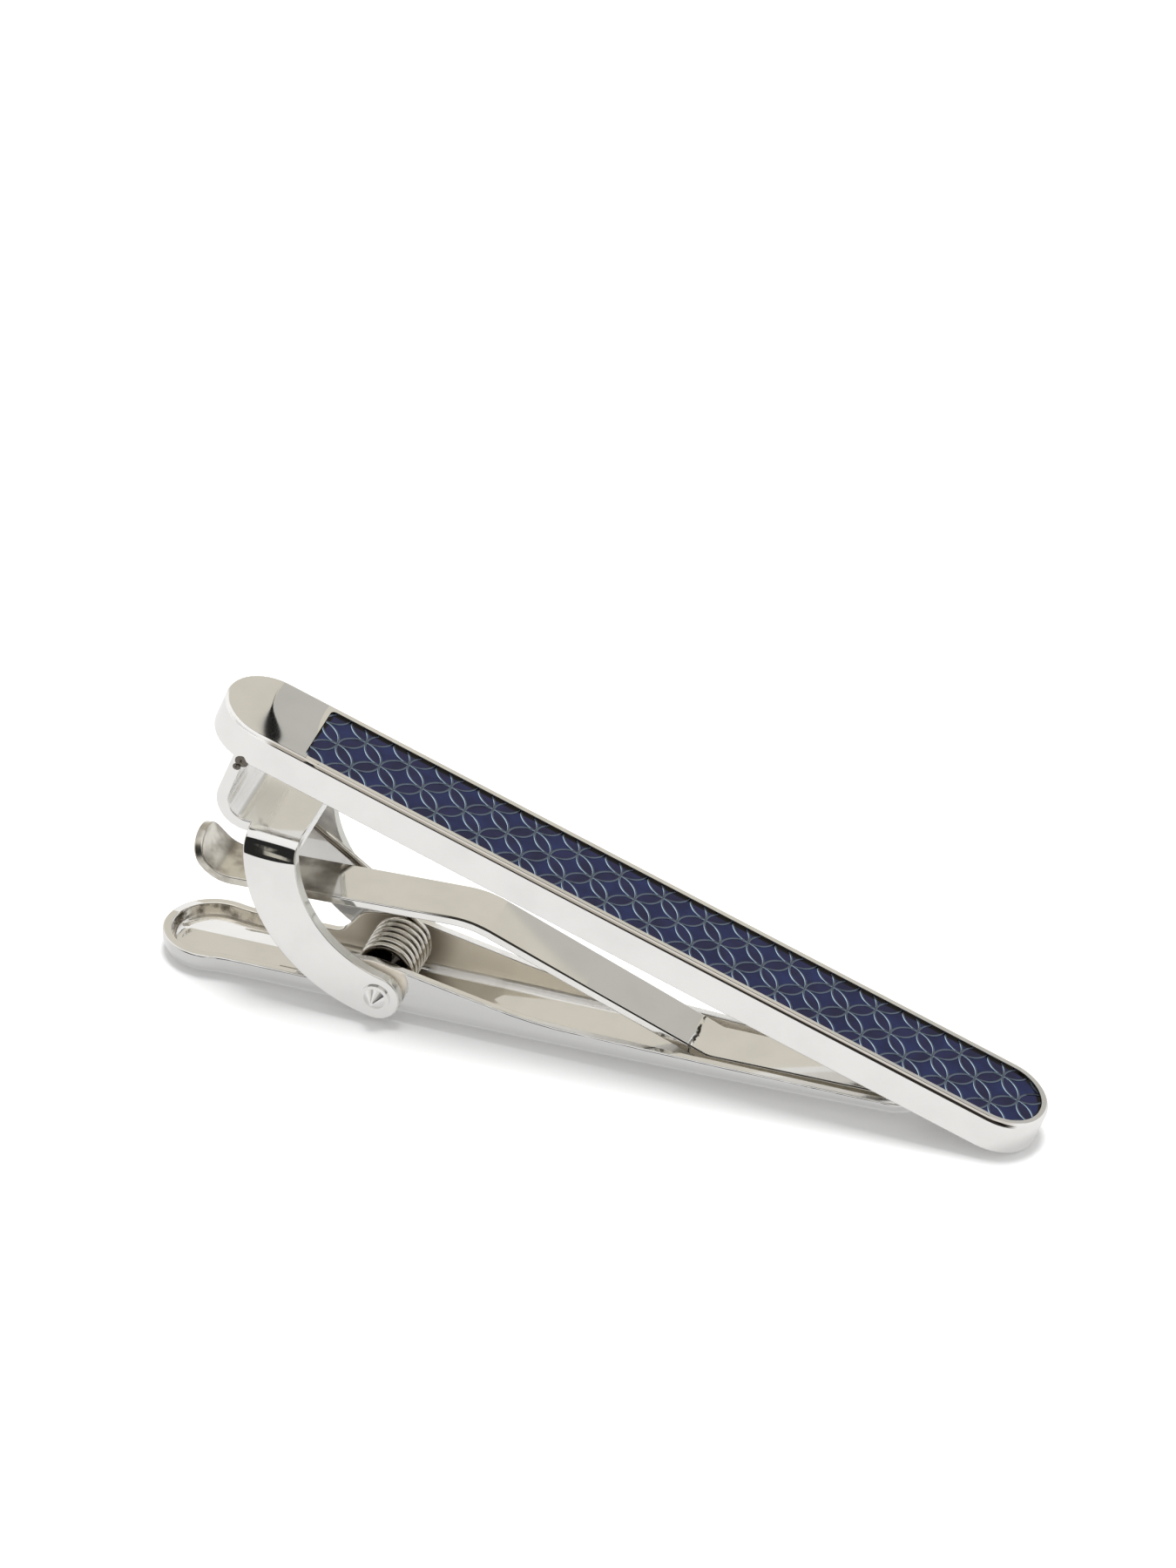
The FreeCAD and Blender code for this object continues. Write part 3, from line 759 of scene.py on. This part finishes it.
def ridge_finish():
    """Metal of the raised lines under the enamel, with a painted highlight and a painted shadow."""
    metal = Metal("inlay_ridge", tint=(0.125, 0.155, 0.205), gloss=0.12, wave=0.004, dent=0.0)
    along, aside = on_bar(metal, metal.place)[:2]
    forward = metal.facing[0] * math.cos(bar_slope) - metal.facing[2] * math.sin(bar_slope)
    flank = forward + metal.facing[1]
    highlight_mask = metal.step(-flank, *near_flanks) + far_flank_share * metal.step(flank, *far_flanks)
    # Painted highlight on the flanks that run across the view.
    metal.paint(highlight_mask, painted_ridge_highlight)
    far_tip = metal.step(along, *tip_shade) * metal.step(aside, *tip_shade_side)
    in_recess_shadow = metal.step(aside, *far_rim_shade).math("MAXIMUM", far_tip)
    # Painted shadow of the recess under the far rim and at the far side of the tip.
    metal.paint(in_recess_shadow, painted_ridge_shadow)
    return metal.close()


line_material = ridge_finish()
dress("pattern_plate", line_material)

# %% [markdown]
# The raised lines end at the outline of the inlay, which is round at the tip and has two small corners at
# the rear. Cutting with one curved solid could leave slivers, so the outline is written as upright planes,
# and each of them is a straight cut.

# %% Outline of the inlay
trim = 0.03
inlay_corner = 0.3
tip_planes = 19
corner_planes = 4
line_limit = inlay_half - trim
corner_x = inlay_rear + trim + inlay_corner
corner_y = line_limit - inlay_corner


def round_corner(centre_x, centre_y, radius, first, last, count):
    """Upright planes round an arc of the outline: a point on each, and the direction out of the inlay."""
    planes = []
    for step in range(count):
        angle = math.radians(first + (last - first) * step / (count - 1))
        outward = Vector((math.cos(angle), math.sin(angle), 0.0))
        planes.append((Vector((centre_x, centre_y, 0.0)) + outward * radius, outward))
    return planes


outline = round_corner(inlay_front - inlay_half, 0.0, line_limit, -90.0, 90.0, tip_planes)
outline += round_corner(corner_x, corner_y, inlay_corner, 90.0, 180.0, corner_planes)
outline += round_corner(corner_x, -corner_y, inlay_corner, 180.0, 270.0, corner_planes)
print("the outline has", len(outline), "planes")

# %% [markdown]
# On the real plate the circles are fine raised ridges. A bump could draw them, but a ridge with a real
# shape catches the light from any side. Each ridge is a ring with an oval section, half sunk in the enamel.
# One ring is spun, copied to every place of the lattice and cut off at each plane.

# %% Raised lines of the inlay
line_half = 0.08
line_flatness = 0.8
ring_steps = 48
section_sides = 10
enamel_top = 13.37
rows_each_side = 2


def of_kind(parts, kind):
    """The verts or edges among the parts that an operator returns."""
    return [part for part in parts if isinstance(part, kind)]


def everything(shape):
    """All the parts of a bmesh."""
    return shape.verts[:] + shape.edges[:] + shape.faces[:]


lines = bmesh.new()
upright_section = Matrix.Translation((ring_radius, 0.0, 0.0)) @ Matrix.Rotation(math.pi / 2, 4, "X")
bmesh.ops.create_circle(lines, radius=line_half, segments=section_sides, matrix=upright_section)
bmesh.ops.scale(lines, vec=(1.0, 1.0, line_flatness), verts=lines.verts[:])
bmesh.ops.spin(lines, geom=lines.verts[:] + lines.edges[:], axis=(0.0, 0.0, 1.0), cent=(0.0, 0.0, 0.0),
               angle=2 * math.pi, steps=ring_steps, use_merge=True)
ring = everything(lines)
first_column = math.floor((inlay_rear - crossing) / ring_radius) - 1
last_column = math.ceil((inlay_front - crossing) / ring_radius) + 1
for column in range(first_column, last_column + 1):
    for row in range(-rows_each_side, rows_each_side + 1):
        if (column + row) % 2 == 1:
            copied = bmesh.ops.duplicate(lines, geom=ring)["geom"]
            shift = Vector((crossing + column * ring_radius, row * ring_radius, 0.0))
            bmesh.ops.translate(lines, verts=of_kind(copied, bmesh.types.BMVert), vec=shift)
bmesh.ops.delete(lines, geom=of_kind(ring, bmesh.types.BMVert), context="VERTS")
for point, outward in outline:
    cut = bmesh.ops.bisect_plane(lines, geom=everything(lines), plane_co=point, plane_no=outward,
                                 clear_outer=True)
    bmesh.ops.holes_fill(lines, edges=of_kind(cut["geom_cut"], bmesh.types.BMEdge), sides=0)
bmesh.ops.recalc_face_normals(lines, faces=lines.faces[:])
bmesh.ops.translate(lines, verts=lines.verts[:], vec=(0.0, 0.0, enamel_top))
bmesh.ops.scale(lines, vec=(mm, mm, mm), verts=lines.verts[:])
bmesh.ops.transform(lines, matrix=bar_place, verts=lines.verts[:])


def add_piece(name, shape, material):
    """Turn a finished bmesh into an object at the origin."""
    for face in shape.faces:
        face.smooth = True
    mesh = bpy.data.meshes.new(name)
    shape.to_mesh(mesh)
    shape.free()
    mesh.materials.append(material)
    piece = bpy.data.objects.new(name, mesh)
    bpy.context.scene.collection.objects.link(piece)
    print(name, "has", len(mesh.polygons), "faces")
    return piece


inlay_lines = add_piece("inlay_lines", lines, line_material)
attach(inlay_lines, "bar")

# %% [markdown]
# The spring is one piece of wire: a straight leg on the jaw's floor, a close-wound coil round the pin, and
# a leg that pushes up against the yoke. Spinning a circle while it shifts sideways winds the coil, and
# extruding the end rings makes the legs. The model's spring has open turns, as a solid coil needs, so this
# one replaces it. Its last leg grows until it is as high as the model's.

# %% Shape of the spring
wire_radius = 0.27
wire_sides = 14
coil_radius = 1.64
coil_turns = 6
coil_pitch = 0.58
turn_steps = 40
coil_near = -2.08
leg_far = 2.43
floor_lean = math.radians(2.1)
web_leg_angle = math.radians(52.0)
floor_leg = 7.0
drift_length = 4.0

start_angle = -math.pi / 2 - floor_lean
sweep = 2 * math.pi * coil_turns + web_leg_angle - start_angle
coil_steps = round(turn_steps * sweep / (2 * math.pi))
coil_span = coil_pitch * sweep / (2 * math.pi)
floor_way = Vector((math.cos(floor_lean), 0.0, -math.sin(floor_lean)))
web_way = Vector((-math.sin(web_leg_angle), 0.0, math.cos(web_leg_angle)))
coil_start = coil_centre + coil_radius * Vector((math.cos(start_angle), 0.0, math.sin(start_angle)))
coil_start.y = coil_near


def lengthen(shape, ring_edges, step):
    """Extrude a ring of edges by a step and return the new ring."""
    grown = bmesh.ops.extrude_edge_only(shape, edges=ring_edges)["geom"]
    new_verts = set(of_kind(grown, bmesh.types.BMVert))
    bmesh.ops.translate(shape, verts=list(new_verts), vec=step)
    return [edge for edge in of_kind(grown, bmesh.types.BMEdge) if set(edge.verts) <= new_verts]


coil = bmesh.new()
square_to_leg = Vector((0.0, 0.0, 1.0)).rotation_difference(floor_way).to_matrix().to_4x4()
leg_tip = Matrix.Translation(coil_start - floor_way * floor_leg) @ square_to_leg
bmesh.ops.create_circle(coil, radius=wire_radius, segments=wire_sides, matrix=leg_tip)
end_ring = lengthen(coil, coil.edges[:], floor_way * floor_leg)
end_verts = list({vert for edge in end_ring for vert in edge.verts})
wound = bmesh.ops.spin(coil, geom=end_verts + end_ring, cent=coil_centre, axis=(0.0, -1.0, 0.0),
                       angle=sweep, steps=coil_steps, dvec=(0.0, coil_span / coil_steps, 0.0))
end_ring = of_kind(wound["geom_last"], bmesh.types.BMEdge)
sideways = Vector((0.0, leg_far - coil_near - coil_span, 0.0))
end_ring = lengthen(coil, end_ring, web_way * drift_length + sideways)
bmesh.ops.scale(coil, vec=(mm, mm, mm), verts=coil.verts[:])
leg_top = max((jaw_place @ vert.co).z for edge in end_ring for vert in edge.verts)
web_rise = (jaw_place.to_3x3() @ web_way).z
web_leg = (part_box("torsion_spring")[1].z - leg_top) / web_rise
lengthen(coil, end_ring, web_way * web_leg)
bmesh.ops.holes_fill(coil, edges=coil.edges[:], sides=0)
bmesh.ops.recalc_face_normals(coil, faces=coil.faces[:])
bmesh.ops.transform(coil, matrix=jaw_place, verts=coil.verts[:])
print("the coil is", round(coil_span, 2), "mm wide, and its last leg grew by", round(web_leg / mm, 2), "mm")

# %% [markdown]
# Inside the coil and in the grooves between its turns, a painted shade makes the wire dark, and the wire is
# stained. One end of the spring follows the jaw and the other the bar.

# %% Finish of the spring
bore_depth = 0.1
bore_edge = 0.02
bore_shade = opaque(0.05, 0.042, 0.036)
groove_faces = (0.5, 0.85)
groove_shade = opaque(0.2, 0.175, 0.145)
wire_stain_scale = 900.0
wire_stain_detail = 4.0
wire_stain_border = (0.45, 0.7)
wire_stain_tint = opaque(0.45, 0.42, 0.38)


def wire_finish():
    """Stained wire, with painted shade in the bore of the coil and between its turns."""
    metal = Metal("wire_plate", tint=(0.72, 0.69, 0.63), gloss=0.09, wave=0.004, dent=0.01)
    stain = metal.noise(metal.place, wire_stain_scale, wire_stain_detail)
    metal.paint(metal.step(stain, *wire_stain_border), wire_stain_tint)
    # Painted shade in the grooves between the turns and in the bore of the coil.
    metal.paint(metal.step(abs(metal.facing[1]), *groove_faces), groove_shade)
    in_bore = metal.fade(from_coil(metal), coil_radius - bore_depth, coil_radius + bore_edge)
    metal.paint(in_bore, bore_shade)
    return metal.close()


coil_spring = add_piece("coil_spring", coil, wire_finish())
coil_far = coil_near + coil_span
coil_far * mm
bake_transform(coil_spring)
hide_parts("torsion_spring")

# %% [markdown]
# Each side of the yoke is soldered to the bar. The solder ran out at the corner and froze there as one
# large bead with a small one under it. Plain balls would look too neat. So each bead starts as a ball, some
# of its points are pushed in, and smoothing turns the dents into the uneven skin of frozen metal.

# %% Solder
bead_radius = 0.42
bead_place = Vector((-13.95, 3.08, 11.06))
drop_radius = 0.24
drop_place = Vector((-14.1, 3.2, 10.58))
ball_divisions = 4
dents = [
    Vector((0.6, -0.5, 0.6)),
    Vector((-0.7, -0.6, 0.2)),
    Vector((0.2, -0.9, -0.5)),
    Vector((0.1, 0.8, 0.6)),
]
dent_depth = 0.22
dent_reach = 0.86
smooth_rounds = 3
smooth_share = 0.5
bead_stretch = 1.1
bead_squash = 0.9


def freeze_bead(shape, radius, place, side):
    """Add one dented bead of solder at its place on one side of the bar."""
    ball = bmesh.ops.create_icosphere(shape, subdivisions=ball_divisions, radius=radius)["verts"]
    for dent in dents:
        way = dent.normalized()
        pushed = [vert for vert in ball if vert.co.normalized().dot(way) > dent_reach]
        bmesh.ops.translate(shape, verts=pushed, vec=way * -dent_depth * radius)
    for again in range(smooth_rounds):
        bmesh.ops.smooth_vert(shape, verts=ball, factor=smooth_share,
                              use_axis_x=True, use_axis_y=True, use_axis_z=True)
    bmesh.ops.scale(shape, vec=(bead_stretch, -side * bead_squash, bead_squash), verts=ball)
    bmesh.ops.translate(shape, verts=ball, vec=(place.x, side * place.y, place.z))


blobs = bmesh.new()
for side in (-1, 1):
    freeze_bead(blobs, bead_radius, bead_place, side)
    freeze_bead(blobs, drop_radius, drop_place, side)
bmesh.ops.recalc_face_normals(blobs, faces=blobs.faces[:])
bmesh.ops.scale(blobs, vec=(mm, mm, mm), verts=blobs.verts[:])
bmesh.ops.transform(blobs, matrix=bar_place, verts=blobs.verts[:])
solder_metal = Metal("solder_blob", tint=(0.15, 0.132, 0.115), gloss=0.05, wave=0.004, dent=0.01)
solder_blobs = add_piece("solder_blobs", blobs, solder_metal.close())
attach(solder_blobs, "bar")
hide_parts("solder_beads")

# %% [markdown]
# Polished metal is only as good as what it reflects. A picture of a room could be wrapped round the scene,
# but a few walls drawn by their direction are easier to put just where a face mirrors them. Behind are two
# pale flats with a dark gap between them that widens upwards, and beside the clip the walls are white.
# Directions are degrees: turn runs to the right from straight behind the clip, and rise goes up from the
# table.

# %% Room behind and beside the clip
world = bpy.data.worlds.new("studio")
bpy.context.scene.world = world
room = Board(world)
towards = room.node("ShaderNodeTexCoord", output="Generated")
east, north, high = room.axes(towards)
turn = east.math("ARCTAN2", north) * math.degrees(1)
rise = high.math("ARCSINE") * math.degrees(1)

flats_meet = (12.0, 13.0)
left_flat = opaque(0.68, 0.65, 0.575)
right_flat = opaque(0.54, 0.53, 0.50)
gap_lean = 0.54
gap_lean_foot = 36.2
gap_left = (10.1, 10.8)
gap_foot = 36.9
gap_foot_turn = 10.8
gap_widening = 2.2
gap_right_edge = (0.0, 0.4)
gap_dark = grey(0.012)
right_side = (20.0, 30.0)
left_side = (32.0, 58.0)
sides_end = (104.0, 120.0)
side_white = grey(0.95)

leaning = turn - gap_lean * (rise - gap_lean_foot)
gap_right = gap_foot_turn + gap_widening * (rise - gap_foot)
gap = room.step(leaning, *gap_left) * room.step(gap_right - leaning, *gap_right_edge)
flats = room.mix(room.step(turn, *flats_meet), left_flat, right_flat)
behind = room.mix(gap, flats, gap_dark)
beside = room.step(turn, *right_side) + room.step(-turn, *left_side)
sides = room.mix(beside * room.fade(abs(turn), *sides_end), behind, side_white)
print("the room has", len(room.tree.nodes), "nodes behind and beside the clip")

# %% [markdown]
# In front it is dark to the left of the camera, up to a white upper wall, with one dim patch low down. To
# the right there is a pale wall and a dark stand before it, and overhead a white softbox. Rays from gloss
# see this room. Plain white light does the rest, and the camera sees a white background.

# %% Room in front, and who sees it
left_of_camera = (-132.0, -120.0)
right_of_camera = (112.0, 120.0)
dark = grey(0.02)
upper_wall = (46.0, 49.0)
patch_left = -166.5
patch_right = -160.5
patch_low = 12.0
patch_high = 27.0
patch_side_softness = 1.0
patch_end_softness = 2.0
patch_tint = opaque(0.55, 0.53, 0.46)
stand_left = 118.0
stand_right = 146.0
stand_low = 3.0
stand_high = 50.0
stand_softness = 3.0
pale_wall = opaque(0.62, 0.60, 0.55)
softbox = (56.0, 60.0)
softbox_white = grey(1.0)
table_line = (1.0, 4.0)
table_white = grey(0.9)
plain_light = grey(0.8)
background = grey(1.0)

patch_across = room.within(turn, patch_left, patch_right, patch_side_softness)
patch = patch_across * room.within(rise, patch_low, patch_high, patch_end_softness)
dark_room = room.mix(room.step(rise, *upper_wall), room.mix(patch, dark, patch_tint), side_white)
left_front = room.mix(room.fade(turn, *left_of_camera), sides, dark_room)
stand_across = room.within(turn, stand_left, stand_right, stand_softness)
stand = stand_across * room.within(rise, stand_low, stand_high, stand_softness)
front = room.mix(room.step(turn, *right_of_camera), left_front, room.mix(stand, pale_wall, dark))
upper = room.mix(room.step(rise, *softbox), front, softbox_white)
around = room.mix(room.step(rise, *table_line), table_white, upper)

camera_ray = room.node("ShaderNodeLightPath", output="Is Camera Ray")
glossy_ray = room.node("ShaderNodeLightPath", output="Is Glossy Ray")
seen = room.mix(camera_ray, room.mix(glossy_ray, plain_light, around), background)
backdrop = room.node("ShaderNodeBackground", None, {"Color": seen, "Strength": 1.0})
room.node("ShaderNodeOutputWorld", None, {"Surface": backdrop})
print("the whole room has", len(room.tree.nodes), "nodes")

# %% [markdown]
# The clip lies on a white table. In the polished metal the table would glare, so rays from gloss see it
# dimmer: partly as greyer paper and partly as an even glow, so that the clip's shadow doesn't blacken the
# metal.

# %% Table
table_half = 1.5
table_cells = 8
paper_white = grey(0.92)
dim_white = grey(0.6)
glow_white = grey(0.88)
glow_share = 0.55

table_shape = bmesh.new()
bmesh.ops.create_grid(table_shape, x_segments=table_cells, y_segments=table_cells, size=table_half)
table_finish = bpy.data.materials.new("white_table")
table_board = Board(table_finish)
paper = table_board.node("ShaderNodeBsdfDiffuse", None, {"Color": paper_white})
dim_paper = table_board.node("ShaderNodeBsdfDiffuse", None, {"Color": dim_white})
glow = table_board.node("ShaderNodeEmission", None, {"Color": glow_white, "Strength": 1.0})
mirrored = table_board.node("ShaderNodeMixShader", None, {0: glow_share, 1: dim_paper, 2: glow})
from_gloss = table_board.node("ShaderNodeLightPath", output="Is Glossy Ray")
both = table_board.node("ShaderNodeMixShader", None, {0: from_gloss, 1: paper, 2: mirrored})
table_board.node("ShaderNodeOutputMaterial", None, {"Surface": both})
table = add_piece("white_table", table_shape, table_finish)

# %% [markdown]
# A wide lamp lights the clip at a plain level, so that its colours come out about as they are written. A
# second lamp at the same place lights the table alone, past white, so only the close shadow under the clip
# stays visible. One strong lamp for both would bleach the enamel and the satin plate.

# %% Lamps
lamp_place = Vector((-0.02, 0.1, 0.7))
lamp_width = 0.35
clip_lamp_power = 1.4
table_lamp_power = 3.1


def add_lamp(name, power):
    """A round lamp above the clip, which polished metal doesn't show."""
    data = bpy.data.lights.new(name, "AREA")
    data.shape = "DISK"
    data.size = lamp_width
    data.energy = power
    lamp = bpy.data.objects.new(name, data)
    lamp.location = lamp_place
    lamp.rotation_euler = (-lamp_place).to_track_quat("-Z", "Y").to_euler()
    lamp.visible_glossy = False
    bpy.context.scene.collection.objects.link(lamp)
    print(name, "has", power, "W")
    return lamp


add_lamp("wide_lamp", clip_lamp_power)
table_lamp = add_lamp("table_lamp", table_lamp_power)
table_only = bpy.data.collections.new("table_only")
table_only.objects.link(table)
table_lamp.light_linking.receiver_collection = table_only

# %% [markdown]
# Colours are shown as they are written, with no film curve.

# %% Close
bpy.context.scene.view_settings.view_transform = "Standard"
